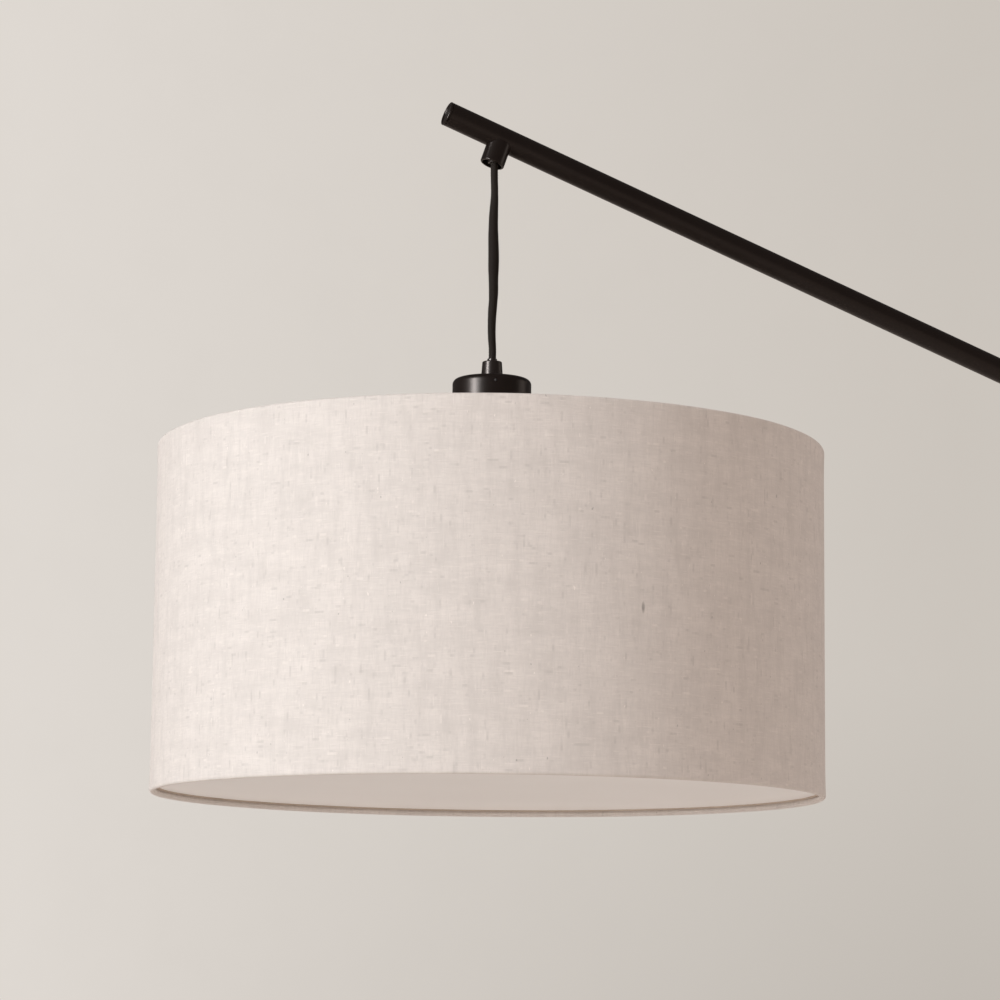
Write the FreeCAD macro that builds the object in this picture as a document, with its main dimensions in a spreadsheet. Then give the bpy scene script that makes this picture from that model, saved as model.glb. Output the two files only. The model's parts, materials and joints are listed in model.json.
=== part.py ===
import FreeCAD, Part
import math
import os
import re

import Sketcher
from FreeCAD import Rotation, Vector

# A counterbalanced boom floor lamp: a weighted base and a post, a swivelling fork head, a straight
# round boom with a drum shade hanging from its tip on a short textile cord, and a counterweight.
# The origin is the centre of the base on the floor, +Z is up and the shade hangs towards -X.
# Lengths are in millimetres and angles in degrees.

os.makedirs("parts", exist_ok=True)
doc = FreeCAD.newDocument("boom_floor_lamp")

SIZES = {
    # base
    "base_radius": 165,
    "felt_radius": 160,
    "felt_thick": 2,
    "weight_radius": 163.4,
    "weight_height": 22,
    "weight_chamfer": 3,
    "cover_thick": 1.2,
    "cover_gap": 0.2,
    "cover_round": 5,
    "channel_half": 8,
    "channel_height": 18,
    "seat_radius": 21,
    "seat_depth": 12,
    "gland_height": 11,
    "gland_bore": 3.6,
    "gland_neck_radius": 4.9,
    "gland_collar_radius": 6.4,
    "gland_head_radius": 7,
    "gland_reach": 8,
    "stud_radius": 8,
    "stud_bore": 4.5,
    "stud_length": 62,
    "stud_foot": 4,
    "stud_nut_flats": 24,
    "stud_nut_height": 7.5,
    "stud_washer_radius": 17,
    "stud_washer_thick": 2.5,
    "collar_radius": 31,
    "collar_edge": 2.5,
    "collar_neck_radius": 17,
    "collar_height": 15,
    # post
    "post_radius": 12.7,
    "post_wall": 1.5,
    "post_joint_height": 766,
    "post_joint_length": 5,
    "post_joint_bore": 5,
    "post_bush_length": 34,
    "plug_length": 28,
    "slip": 0.05,
    "tight": 0.02,
    "play": 0.1,
    "loose": 0.3,
    "lead_radius": 2.5,
    # swivel head and fork
    "knuckle_height": 1550,
    "fork_drop": 38,
    "fork_radius": 13,
    "fork_flat": 11.5,
    "slot_half": 7,
    "slot_depth": 15,
    "flats_depth": 21,
    "spindle_socket": 12,
    "spindle_nut_flats": 17,
    "spindle_nut_height": 6,
    "spindle_radius": 6,
    "spindle_bore": 3.5,
    "bush_length": 30,
    "bush_flange": 3,
    "washer_thick": 1.2,
    "thrust_washer_radius": 12.2,
    "friction_washer_radius": 11,
    "knob_washer_radius": 8.5,
    "knob_washer_thick": 1.4,
    "pin_radius": 4,
    "pin_head_radius": 7,
    "pin_head_reach": 16.5,
    "pin_reach": 27,
    "knob_radius": 16,
    "knob_start": 13.3,
    "knob_length": 18,
    "knob_foot_radius": 11,
    "knob_bore": 5.5,
    "knob_wall": 3.5,
    "flute_radius": 3.6,
    # boom
    "boom_tilt": 19.35,
    "boom_radius": 9.5,
    "boom_wall": 1.5,
    "arm_reach": 1000,
    "tip_overhang": 48.2,
    "tail_length": 420,
    "boom_joint_reach": 330,
    "boom_joint_length": 4,
    "boom_joint_plug": 30,
    "boom_joint_bore": 4,
    "cap_lip_radius": 9.6,
    "cap_lip_thick": 2.2,
    "cap_plug_length": 12,
    "saddle_rise": 26,
    "saddle_radius": 13.5,
    "saddle_length": 64,
    "lug_half": 5.5,
    "lug_radius": 12,
    "saddle_screw_radius": 2.5,
    "saddle_screw_reach": 20,
    "tail_weight_radius": 41,
    "tail_weight_length": 120,
    "tail_weight_reach": 350,
    "tail_weight_round": 4,
    "weight_screw_radius": 3,
    "weight_screw_head": 7,
    "weight_screw_reach": 10,
    # ferrule at the tip, and the cord that hangs from it
    "ferrule_radius": 9.5,
    "ferrule_bore": 8,
    "ferrule_mouth": 22.7,
    "ferrule_roof": 11.2,
    "ferrule_start": 4,
    "outlet_nipple_radius": 4,
    "outlet_nipple_bore": 2.7,
    "outlet_nut_radius": 6.5,
    "outlet_nut_thick": 1.5,
    "swing_ring_bore": 3.6,
    "swing_ring_radius": 5,
    "stop_radius": 4.2,
    "stop_height": 1.4,
    "cord_radius": 2.8,
    "cord_offset": 5.53,
    # shade, with heights above its lower edge
    "shade_drop": 513.6,
    "pivot_height": 494.6,
    "shade_radius": 254,
    "shade_height": 264,
    "fabric_thick": 0.55,
    "wire_radius": 1.5,
    "roll_radius": 2.1,
    "hem_height": 12,
    "liner_thick": 0.75,
    "diffuser_thick": 2,
    "edging_wall": 0.6,
    "edging_width": 1.6,
    "edging_drop": 1.2,
    "hub_bore": 19.9,
    "hub_radius": 27,
    "hub_thick": 2,
    "arm_wire_radius": 1.6,
    "liner_gap": 2.3,
    "diffuser_gap": 2.5,
    # socket cup, grip, lampholder and bulb, with heights above the shade's lower edge
    "cup_radius": 30.4,
    "cup_wall": 1.2,
    "cup_foot": 268.4,
    "cup_top": 321.6,
    "cup_round": 4.2,
    "cup_screw_height": 316,
    "cup_screw_bearing": -104.4,
    "cup_screw_radius": 1.25,
    "cup_screw_length": 3,
    "cup_nipple_bore": 3.2,
    "cup_nipple_foot": 292,
    "cup_nipple_top": 331.6,
    "cup_nut_flats": 14,
    "cup_nut_height": 3,
    "grip_foot_radius": 8.6,
    "grip_top_radius": 7.55,
    "grip_top": 335.7,
    "grip_lip_radius": 3.75,
    "grip_lip_top": 338,
    "grip_seat": 332,
    "grip_play": 0.5,
    "nipple_radius": 5,
    "skirt_foot": 250,
    "skirt_radius": 19.7,
    "socket_bore": 14.4,
    "socket_roof": 284,
    "socket_shoulder": 296,
    "socket_shoulder_radius": 17,
    "socket_top": 300,
    "socket_top_radius": 14,
    "socket_ring_radius": 26.5,
    "socket_ring_height": 8,
    "shell_thick": 0.5,
    "contact_foot": 279,
    "contact_radius": 6,
    "terminal_reach": 10.5,
    "terminal_radius": 2.6,
    "terminal_height": 1.8,
    "bulb_radius": 30,
    "bulb_centre": 198,
    "bulb_cone_length": 40.1,
    "bulb_neck_radius": 13.6,
    "bulb_join_angle": 20,
    "bulb_glass": 1.2,
    "bulb_cap_radius": 13.2,
    "bulb_cap_length": 22,
}

sheet = doc.addObject("Spreadsheet::Sheet", "Sizes")
for row, (alias, size) in enumerate(SIZES.items(), start=1):
    sheet.set(f"A{row}", alias)
    sheet.set(f"B{row}", str(size))
    sheet.setAlias(f"B{row}", alias)
doc.recompute()

# Sizes worked out from the driving ones.
COVER_RISE = "(weight_height + cover_gap + cover_thick)"
POST_FOOT = f"(felt_thick + {COVER_RISE})"
POST_BORE = "(post_radius - post_wall)"
FORK_FOOT = "(knuckle_height - fork_drop)"
WASHER_FOOT = f"({FORK_FOOT} - play * 2 - washer_thick)"
POST_TOP = f"({WASHER_FOOT} - bush_flange)"
BOOM_BORE = "(boom_radius - boom_wall)"
BOOM_X = "(saddle_rise * sin(boom_tilt))"
BOOM_Z = "(knuckle_height + saddle_rise * cos(boom_tilt))"
TIP = "(arm_reach + tip_overhang)"
TIP_CAP_FOOT = f"({TIP} - cap_lip_thick)"
FERRULE_X = f"({BOOM_X} - arm_reach * cos(boom_tilt))"
FERRULE_Z = f"({BOOM_Z} + arm_reach * sin(boom_tilt))"
SHADE_X = f"({FERRULE_X} - cord_offset)"
SHADE_Z = f"({FERRULE_Z} - shade_drop)"
ROLL_CENTRE = "(shade_radius - roll_radius)"
TOP_WIRE = "(shade_height - roll_radius)"

PARTS = []


def bound(text):
    """An expression in which every driving dimension is read from the sheet."""
    return re.sub(r"[a-z_]+", lambda word: f"Sizes.{word[0]}" if word[0] in SIZES else word[0], str(text))


def value(text):
    """The number that an expression gives."""
    result = sheet.evalExpression(bound(text))
    return float(getattr(result, "Value", result))


def part(label, obj):
    """Names a sub-part and puts it on the list of what is written."""
    obj.Label = label
    PARTS.append(obj)
    return obj


# ------------------------------------------------------------------ placing


def place(obj, x="0", y="0", z="0", axis=Vector(0, 1, 0), angle="0"):
    """Moves an object to (x, y, z) and turns it by angle about axis."""
    obj.Placement.Rotation = Rotation(axis, value(angle))
    for coordinate, text in (("x", x), ("y", y), ("z", z)):
        obj.setExpression(f"Placement.Base.{coordinate}", bound(text))
    if value(angle):
        obj.setExpression("Placement.Rotation.Angle", bound(angle))
    return obj


def stand(obj, height):
    """Stands an object on the post's axis at a height."""
    return place(obj, z=height)


def along_boom(obj):
    """Lays an object's own Z along the boom, towards the tip, from the saddle's centre."""
    return place(obj, x=BOOM_X, z=BOOM_Z, angle="boom_tilt - 90")


def below_boom(obj, reach):
    """Points an object's own Z square out of the boom's underside, reach along from the saddle."""
    x = f"{BOOM_X} - {reach} * cos(boom_tilt)"
    z = f"{BOOM_Z} + {reach} * sin(boom_tilt)"
    return place(obj, x=x, z=z, angle="180 + boom_tilt")


def across_fork(obj):
    """Lays an object's own Z along the tilt axis, which is the row's Y."""
    return place(obj, z="knuckle_height", axis=Vector(1, 0, 0), angle="-90")


def hang(obj):
    """Puts an object on the pendant's plumb line, with height 0 at the shade's lower edge."""
    return place(obj, x=SHADE_X, z=SHADE_Z)


# ------------------------------------------------------------------ drawing


def new_body(label):
    return part(label, doc.addObject("PartDesign::Body", label))


def new_sketch(body, role, name, height="0"):
    """A sketch on one of the body's own planes, raised along that plane's normal."""
    sketch = body.newObject("Sketcher::SketchObject", f"{body.Name}_{name}_sketch")
    plane = next(feature for feature in body.Origin.OriginFeatures if feature.Role == role)
    sketch.AttachmentSupport = [(plane, "")]
    sketch.MapMode = "FlatFace"
    if height != "0":
        sketch.setExpression("AttachmentOffset.Base.z", bound(height))
    return sketch


def pin_point(sketch, geometry, point, x, y):
    """Holds one point of a sketch at (x, y)."""
    for kind, text, axis in (("DistanceX", x, -2), ("DistanceY", y, -1)):
        if str(text) == "0":
            sketch.addConstraint(Sketcher.Constraint("PointOnObject", geometry, point, axis))
        else:
            distance = Sketcher.Constraint(kind, -1, 1, geometry, point, value(text))
            index = sketch.addConstraint(distance)
            sketch.setExpression(f"Constraints[{index}]", bound(text))


def polygon(sketch, corners):
    """A closed outline through corners, each an (x, y) pair of expressions."""
    spots = [Vector(value(x), value(y), 0) for x, y in corners]
    for start, end in zip(spots, spots[1:] + spots[:1]):
        sketch.addGeometry(Part.LineSegment(start, end))
    for index, (x, y) in enumerate(corners):
        previous = (index - 1) % len(corners)
        sketch.addConstraint(Sketcher.Constraint("Coincident", previous, 2, index, 1))
        pin_point(sketch, index, 1, x, y)


def circle(sketch, radius, x="0", y="0"):
    """A circle of a radius about (x, y)."""
    index = sketch.addGeometry(Part.Circle(Vector(value(x), value(y), 0), Vector(0, 0, 1), value(radius)))
    pin_point(sketch, index, 3, x, y)
    constraint = sketch.addConstraint(Sketcher.Constraint("Radius", index, value(radius)))
    sketch.setExpression(f"Constraints[{constraint}]", bound(radius))


def extrude(body, kind, name, role, draw, length, height="0", both=False, reverse=False):
    """A Pad or Pocket of what draw() puts in a sketch on one of the body's own planes."""
    before = 0 if kind == "Pad" and not body.Tip else body.Tip.Shape.Volume
    sketch = new_sketch(body, role, name, height)
    draw(sketch)
    feature = body.newObject(f"PartDesign::{kind}", f"{body.Name}_{name}")
    feature.Profile = sketch
    feature.setExpression("Length", bound(length))
    feature.SideType = "Symmetric" if both else "One side"
    feature.Reversed = reverse
    doc.recompute()
    change = feature.Shape.Volume - before
    if (change <= 0) == (kind == "Pad"):
        raise ValueError(f"{feature.Name} changes the volume by {change:.3f}")
    return feature


def turned(label, corners):
    """A solid of revolution about its own Z from (radius, height) corners."""
    body = new_body(label)
    sketch = new_sketch(body, "XZ_Plane", "outline")
    polygon(sketch, corners)
    feature = body.newObject("PartDesign::Revolution", f"{label}_turned")
    feature.Profile = sketch
    feature.ReferenceAxis = (sketch, ["V_Axis"])
    feature.Angle = 360
    doc.recompute()
    return body


def ring(label, inner, outer, low, high):
    """A plain tube or washer."""
    return turned(label, [(inner, low), (outer, low), (outer, high), (inner, high)])


def rod(label, radius, low, high):
    """A plain round bar."""
    return turned(label, [("0", low), (radius, low), (radius, high), ("0", high)])


def soften(body, kind, size, places):
    """A Fillet or Chamfer on the circular edges at (radius, height) places."""
    wanted = [(value(radius), value(height)) for radius, height in places]
    names = []
    for index, edge in enumerate(body.Tip.Shape.Edges, start=1):
        if isinstance(edge.Curve, Part.Circle):
            spot = (edge.Curve.Radius, edge.Curve.Center.z)
            if any(math.dist(spot, want) < 0.02 for want in wanted):
                names.append(f"Edge{index}")
    if len(names) < len(wanted):
        raise ValueError(f"{body.Name} has {len(names)} of {len(wanted)} edges")
    base = body.Tip
    feature = body.newObject(f"PartDesign::{kind}", f"{body.Name}_{kind.lower()}_{len(body.Group)}")
    feature.Base = (base, names)
    feature.setExpression("Radius" if kind == "Fillet" else "Size", bound(size))
    doc.recompute()
    return body


def bored(body, name, role, radius, length, x="0", y="0", **options):
    """A round hole pocketed from one of the body's own planes."""
    return extrude(body, "Pocket", name, role, lambda s: circle(s, radius, x, y), length, **options)


def primitive(kind, name, **sizes):
    """A Part primitive with its sizes bound to the sheet."""
    obj = doc.addObject(f"Part::{kind}", name)
    for key, text in sizes.items():
        obj.setExpression(key, bound(text))
    return obj


def cylinder(name, radius, height, **where):
    return place(primitive("Cylinder", name, Radius=radius, Height=height), **where)


def box(name, length, width, height, x, y, z):
    """A box of a length, width and height from its lowest corner."""
    return place(primitive("Box", name, Length=length, Width=width, Height=height), x=x, y=y, z=z)


def cut(name, base, tool):
    result = doc.addObject("Part::Cut", name)
    result.Base = base
    result.Tool = tool
    return result


def group(name, shapes):
    """Several shapes as one: joined where they meet, separate solids where they don't."""
    result = doc.addObject("Part::MultiFuse", name)
    result.Shapes = shapes
    return result


def hex_nut(label, across_flats, bore, height):
    """A plain hexagon nut standing on its own origin."""
    prism = primitive("Prism", f"{label}_prism", Circumradius=f"{across_flats} / sqrt(3)", Height=height)
    prism.Polygon = 6
    return part(label, cut(label, prism, cylinder(f"{label}_bore", bore, height)))


# ------------------------------------------------------------------ base


def felt_pad():
    part("felt_pad", cylinder("felt_pad", "felt_radius", "felt_thick"))


def base_weight():
    """Cast disc with a bolt seat and a cord channel in its underside."""
    body = new_body("base_weight")
    extrude(body, "Pad", "disc", "XY_Plane", lambda s: circle(s, "weight_radius"), "weight_height")
    soften(body, "Chamfer", "weight_chamfer", [("weight_radius", "weight_height")])
    bored(body, "seat", "XY_Plane", "seat_radius", "seat_depth", reverse=True)
    bored(body, "bore", "XY_Plane", "stud_radius + loose", "weight_height", reverse=True)
    far = "base_radius"
    corners = [
        ("0", "-channel_half"), (far, "-channel_half"), (far, "channel_half"), ("0", "channel_half"),
    ]
    extrude(body, "Pocket", "channel", "XY_Plane", lambda s: polygon(s, corners), "channel_height",
            reverse=True)
    stand(body, "felt_thick")


def base_cover():
    """Spun steel cover, open underneath, with a hole in its side for the cord's gland."""
    inside = ("base_radius - cover_thick", f"{COVER_RISE} - cover_thick")
    hole = "stud_radius + 1"
    body = turned("base_cover", [
        (hole, inside[1]), inside, (inside[0], "0"),
        ("base_radius", "0"), ("base_radius", COVER_RISE), (hole, COVER_RISE),
    ])
    soften(body, "Fillet", "cover_round", [("base_radius", COVER_RISE)])
    soften(body, "Fillet", "cover_round - cover_thick", [inside])
    bored(body, "gland_hole", "YZ_Plane", "gland_neck_radius + play", "base_radius * 2",
          y="gland_height - felt_thick", reverse=True)
    stand(body, "felt_thick")


def cord_gland():
    """Moulded bush for the mains cord, locked in the cover's side wall."""
    inside = "base_radius - gland_reach"
    collar = "base_radius - gland_reach * 0.7"
    head = "base_radius + gland_reach * 0.3"
    tip = "base_radius + gland_reach"
    tip_radius = "gland_neck_radius + play"
    body = turned("cord_gland", [
        ("gland_bore", inside), ("gland_collar_radius", inside), ("gland_collar_radius", collar),
        ("gland_neck_radius", collar), ("gland_neck_radius", "base_radius"),
        ("gland_head_radius", "base_radius"), ("gland_head_radius", head),
        ("gland_head_radius - 1.2", head), (tip_radius, tip), ("gland_bore", tip),
    ])
    soften(body, "Fillet", "0.8", [("gland_head_radius", head), (tip_radius, tip)])
    place(body, z="gland_height", angle="90")


def base_fixings():
    """Hollow threaded stud up into the post, with its washer and nut in the weight's seat."""
    stand(ring("base_stud", "stud_bore", "stud_radius", "0", "stud_length"), "stud_foot")
    nut = hex_nut("stud_nut", "stud_nut_flats", "stud_radius + slip", "stud_nut_height")
    stand(nut, "stud_foot")
    washer = ring("stud_washer", "stud_radius + loose", "stud_washer_radius", "0", "stud_washer_thick")
    stand(washer, "stud_foot + stud_nut_height")


def post_flange():
    """Trim collar around the foot of the post."""
    bore = "post_radius + slip"
    slope_top = "collar_height * 2 / 3"
    body = turned("post_flange", [
        (bore, "0"), ("collar_radius", "0"), ("collar_radius", "collar_edge"),
        ("collar_neck_radius", slope_top), ("collar_neck_radius", "collar_height"), (bore, "collar_height"),
    ])
    edges = [("collar_radius", "collar_edge"), ("collar_neck_radius", "collar_height")]
    soften(body, "Fillet", "1.2", edges)
    soften(body, "Fillet", "4", [("collar_neck_radius", slope_top)])
    stand(body, POST_FOOT)


# ------------------------------------------------------------------ post


def spigot_joint(label, tube_radius, tube_bore, length, ring_foot, bore):
    """A flush ring between two tubes, with a plug as long as ring_foot into each of them."""
    plug = f"({tube_bore} - slip)"
    ring_top = f"({ring_foot} + {length})"
    top = f"({ring_foot} * 2 + {length})"
    body = turned(label, [
        (bore, "0"), (plug, "0"), (plug, ring_foot), (tube_radius, ring_foot),
        (tube_radius, ring_top), (plug, ring_top), (plug, top), (bore, top),
    ])
    return soften(body, "Fillet", "0.4", [(tube_radius, ring_foot), (tube_radius, ring_top)])


def post():
    """Two tubes joined by a flush ring, on a threaded bush at the foot."""
    ring("post_lower", POST_BORE, "post_radius", POST_FOOT, "post_joint_height")
    ring("post_upper", POST_BORE, "post_radius", "post_joint_height + post_joint_length", POST_TOP)
    joint = spigot_joint("post_joint", "post_radius", POST_BORE, "post_joint_length", "plug_length",
                         "post_joint_bore")
    stand(joint, "post_joint_height - plug_length")
    bush = ring("post_foot", "stud_radius + slip", f"{POST_BORE} - slip", "0", "post_bush_length")
    stand(bush, POST_FOOT)
    rod("post_lead", "lead_radius", "stud_foot * 2", f"{POST_TOP} - 2")


def head_bush():
    """Flanged bronze bush in the top of the post, for the fork's spindle."""
    bore = "spindle_radius + slip"
    plug = f"{POST_BORE} - slip"
    top = "bush_length + bush_flange"
    body = turned("head_bush", [
        (bore, "0"), (plug, "0"), (plug, "bush_length"), ("post_radius", "bush_length"),
        ("post_radius", top), (bore, top),
    ])
    stand(body, f"{POST_TOP} - bush_length")


# ------------------------------------------------------------------ swivel head


def spindle():
    """Hollow spindle pressed into the fork, with the nut that holds it in the bush."""
    nut_foot = f"({POST_TOP} - bush_length - loose - spindle_nut_height)"
    socket_end = f"{FORK_FOOT} + spindle_socket"
    ring("swivel_spindle", "spindle_bore", "spindle_radius", f"{nut_foot} - 2", socket_end)
    nut = hex_nut("spindle_nut", "spindle_nut_flats", "spindle_radius + tight", "spindle_nut_height")
    stand(nut, nut_foot)
    washer = ring("thrust_washer", "spindle_radius + loose", "thrust_washer_radius", "0", "washer_thick")
    stand(washer, f"{WASHER_FOOT} + play")


def fork():
    """Round bar, flattened, slotted and rounded about the tilt axis, bored for the spindle and pin."""
    side = "fork_radius * 2"
    edge = "-fork_radius"
    across = {"axis": Vector(1, 0, 0), "angle": "90"}
    bar = cylinder("fork_bar", "fork_radius", "fork_drop + fork_radius", z="-fork_drop")
    collar = box("fork_collar", side, side, "fork_drop - flats_depth", edge, edge, "-fork_drop")
    cheeks = box("fork_cheeks", side, "fork_flat * 2", "flats_depth", edge, "-fork_flat", "-flats_depth")
    crown = cylinder("fork_crown", "fork_radius", "fork_flat * 2", y="fork_flat", **across)
    envelope = group("fork_envelope", [collar, cheeks, crown])
    blank = doc.addObject("Part::MultiCommon", "fork_blank")
    blank.Shapes = [bar, envelope]
    slot_height = "fork_radius + slot_depth + 1"
    slot = box("fork_slot", side, "slot_half * 2", slot_height, edge, "-slot_half", "-slot_depth")
    pin_hole = cylinder("fork_pin_hole", "pin_radius + tight", side, y="fork_radius", **across)
    bore = cylinder("fork_bore", "spindle_radius + tight", "spindle_socket", z="-fork_drop")
    lead_hole = cylinder("fork_lead_hole", "spindle_bore", "fork_drop", z="-fork_drop")
    tools = group("fork_tools", [slot, pin_hole, bore, lead_hole])
    stand(part("fork", cut("fork", blank, tools)), "knuckle_height")


def tilt_pin():
    """Round-headed pin through the fork and the lug, held by the clamp knob."""
    head_face = "-(fork_flat + play)"
    head_top = "-pin_head_reach"
    body = turned("tilt_pin", [
        ("0", head_top), ("pin_head_radius", head_top), ("pin_head_radius", head_face),
        ("pin_radius", head_face), ("pin_radius", "pin_reach"), ("0", "pin_reach"),
    ])
    soften(body, "Fillet", "2.5", [("pin_head_radius", head_top)])
    soften(body, "Chamfer", "0.8", [("pin_radius", "pin_reach")])
    across_fork(body)


def fork_washers():
    """Two friction washers in the slot and one plain washer under the knob."""
    bore = "pin_radius + loose"
    discs = []
    for side, foot in (("left", "play - slot_half"), ("right", "slot_half - play - washer_thick")):
        blank = cylinder(f"friction_{side}_disc", "friction_washer_radius", "washer_thick", z=foot)
        hole = cylinder(f"friction_{side}_bore", bore, "washer_thick", z=foot)
        discs.append(cut(f"friction_{side}", blank, hole))
    across_fork(part("friction_washers", group("friction_washers", discs)))
    face = "fork_flat + play"
    across_fork(ring("knob_washer", bore, "knob_washer_radius", face, f"{face} + knob_washer_thick"))


def clamp_knob():
    """Lobed hand knob with a brass insert on the end of the pin."""
    top = "(knob_start + knob_length)"
    roof = f"({top} - knob_wall)"
    body = turned("clamp_knob", [
        ("knob_bore", "knob_start"), ("knob_foot_radius", "knob_start"),
        ("knob_radius", "knob_start + knob_wall"), ("knob_radius", top), ("0", top), ("0", roof),
        ("knob_bore", roof),
    ])
    flute = bored(body, "flute", "XY_Plane", "flute_radius", "(knob_start + knob_length) * 2",
                  x="knob_radius + 1.6", both=True)
    pattern = body.newObject("PartDesign::PolarPattern", "clamp_knob_flutes")
    pattern.Originals = [flute]
    pattern.Axis = (flute.Profile[0], ["N_Axis"])
    pattern.Angle = 360
    pattern.Occurrences = 8
    body.Tip = pattern
    doc.recompute()
    across_fork(body)
    across_fork(ring("knob_insert", "pin_radius + slip", "knob_bore - slip", "knob_start", f"{roof} - play"))


# ------------------------------------------------------------------ boom


def boom_saddle():
    """Sleeve around the boom with the tilting lug under it."""
    body = new_body("boom_saddle")
    extrude(body, "Pad", "sleeve", "XY_Plane", lambda s: circle(s, "saddle_radius"), "saddle_length",
            both=True)
    ends = [("saddle_radius", "saddle_length / 2"), ("saddle_radius", "-saddle_length / 2")]
    soften(body, "Fillet", "1.5", ends)
    corners = [
        ("-saddle_rise", "-lug_radius"), ("-boom_radius", "-lug_radius"), ("-boom_radius", "lug_radius"),
        ("-saddle_rise", "lug_radius"),
    ]
    width = "lug_half * 2"
    extrude(body, "Pad", "neck", "XZ_Plane", lambda s: polygon(s, corners), width, both=True)
    extrude(body, "Pad", "lug", "XZ_Plane", lambda s: circle(s, "lug_radius", "-saddle_rise"), width,
            both=True)
    bored(body, "boom_bore", "XY_Plane", "boom_radius + slip", "saddle_length * 2", both=True)
    bored(body, "pin_bore", "XZ_Plane", "pin_radius + slip", "lug_half * 4", x="-saddle_rise", both=True)
    for name, spot in (("front", "saddle_screw_reach"), ("rear", "-saddle_screw_reach")):
        bored(body, f"{name}_screw_hole", "YZ_Plane", "saddle_screw_radius + slip", "saddle_radius * 2",
              y=spot, reverse=True)
    along_boom(body)


def saddle_screws():
    """Two grub screws that lock the sleeve on the boom."""
    length = "saddle_radius - boom_radius - 0.9"
    screws = []
    for name, spot in (("front", "saddle_screw_reach"), ("rear", "-saddle_screw_reach")):
        screw = cylinder(f"saddle_{name}_screw", "saddle_screw_radius", length, x="boom_radius + play",
                         z=spot, angle="90")
        screws.append(screw)
    along_boom(part("saddle_screws", group("saddle_screws", screws)))


def boom_tubes():
    """Front and rear tubes with a flush ring between them, and the lead inside."""
    start = "boom_joint_reach + boom_joint_length"
    front = ring("boom_front", BOOM_BORE, "boom_radius", start, TIP_CAP_FOOT)
    bored(front, "nipple_hole", "YZ_Plane", "outlet_nipple_radius + slip", "boom_radius * 2", y="arm_reach")
    along_boom(front)
    along_boom(ring("boom_rear", BOOM_BORE, "boom_radius", "-tail_length", "boom_joint_reach"))
    joint = spigot_joint("boom_joint", "boom_radius", BOOM_BORE, "boom_joint_length", "boom_joint_plug",
                         "boom_joint_bore")
    reach = "(boom_joint_reach - boom_joint_plug)"
    place(joint, x=f"{BOOM_X} - {reach} * cos(boom_tilt)", z=f"{BOOM_Z} + {reach} * sin(boom_tilt)",
          angle="boom_tilt - 90")
    along_boom(rod("boom_lead", "lead_radius", "saddle_length / 2", "arm_reach - ferrule_radius"))


def boom_plug(label, foot, step):
    """End plug with a rounded lip, foot being the lip's inner face and step +1 or -1 outwards."""
    plug = f"({BOOM_BORE} - slip)"
    inner = f"{foot} - cap_plug_length * {step}"
    outer = f"{foot} + cap_lip_thick * {step}"
    body = turned(label, [
        ("0", inner), (plug, inner), (plug, foot), ("cap_lip_radius", foot), ("cap_lip_radius", outer),
        ("0", outer),
    ])
    soften(body, "Fillet", "1", [("cap_lip_radius", outer)])
    along_boom(body)


def tail_weight():
    """Counterweight on the boom's tail with its thumb screw."""
    low = "-(tail_weight_reach + tail_weight_length / 2)"
    high = "-(tail_weight_reach - tail_weight_length / 2)"
    body = ring("tail_weight", "boom_radius + slip", "tail_weight_radius", low, high)
    edges = [("tail_weight_radius", low), ("tail_weight_radius", high)]
    soften(body, "Fillet", "tail_weight_round", edges)
    bored(body, "screw_hole", "YZ_Plane", "weight_screw_radius + slip", "tail_weight_radius * 2",
          y="-tail_weight_reach")
    along_boom(body)
    point = "boom_radius + play"
    neck = "tail_weight_radius + 1"
    top = "tail_weight_radius + weight_screw_reach"
    screw = turned("weight_screw", [
        ("0", point), ("weight_screw_radius", point), ("weight_screw_radius", neck),
        ("weight_screw_head", neck), ("weight_screw_head", top), ("0", top),
    ])
    soften(screw, "Fillet", "1", [("weight_screw_head", top), ("weight_screw_head", neck)])
    below_boom(screw, "(-tail_weight_reach)")


def ferrule():
    """Short outlet tube under the boom's tip, open at its mouth, with its nipple and round nut."""
    hole = "outlet_nipple_radius + slip"
    body = new_body("ferrule")
    extrude(body, "Pad", "outlet", "XY_Plane", lambda s: circle(s, "ferrule_radius"),
            "ferrule_mouth - ferrule_start", height="ferrule_start")
    soften(body, "Fillet", "0.9", [("ferrule_radius", "ferrule_mouth")])
    bored(body, "saddle", "YZ_Plane", "boom_radius + slip", "boom_radius * 4", both=True)
    bored(body, "mouth", "XY_Plane", "ferrule_bore", "ferrule_mouth", height="ferrule_roof", reverse=True)
    bored(body, "nipple_bore", "XY_Plane", hole, "ferrule_mouth * 2", both=True)
    below_boom(body, "arm_reach")
    nipple = ring("ferrule_nipple", "outlet_nipple_bore", "outlet_nipple_radius", f"{BOOM_BORE} - 2",
                  "ferrule_roof + 2")
    below_boom(nipple, "arm_reach")
    nut = ring("nipple_nut", hole, "outlet_nut_radius", "ferrule_roof", "ferrule_roof + outlet_nut_thick")
    below_boom(nut, "arm_reach")


# ------------------------------------------------------------------ cord

# The cord's route on the plumb line: (x, y) off it and height above the shade's lower edge.
CORD_ROUTE = [
    (0.0, 0.0, 499.4),
    (0.0, 0.0, 484.0),
    (0.66, -0.23, 468.0),
    (-0.18, 0.06, 452.0),
    (-0.23, 0.08, 436.0),
    (0.36, -0.12, 420.0),
    (0.19, -0.07, 404.0),
    (0.61, -0.21, 388.0),
    (-0.52, 0.18, 372.0),
    (-0.62, 0.22, 356.0),
    (0.36, -0.13, 344.0),
    (0.0, 0.0, 332.6),
]


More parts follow.
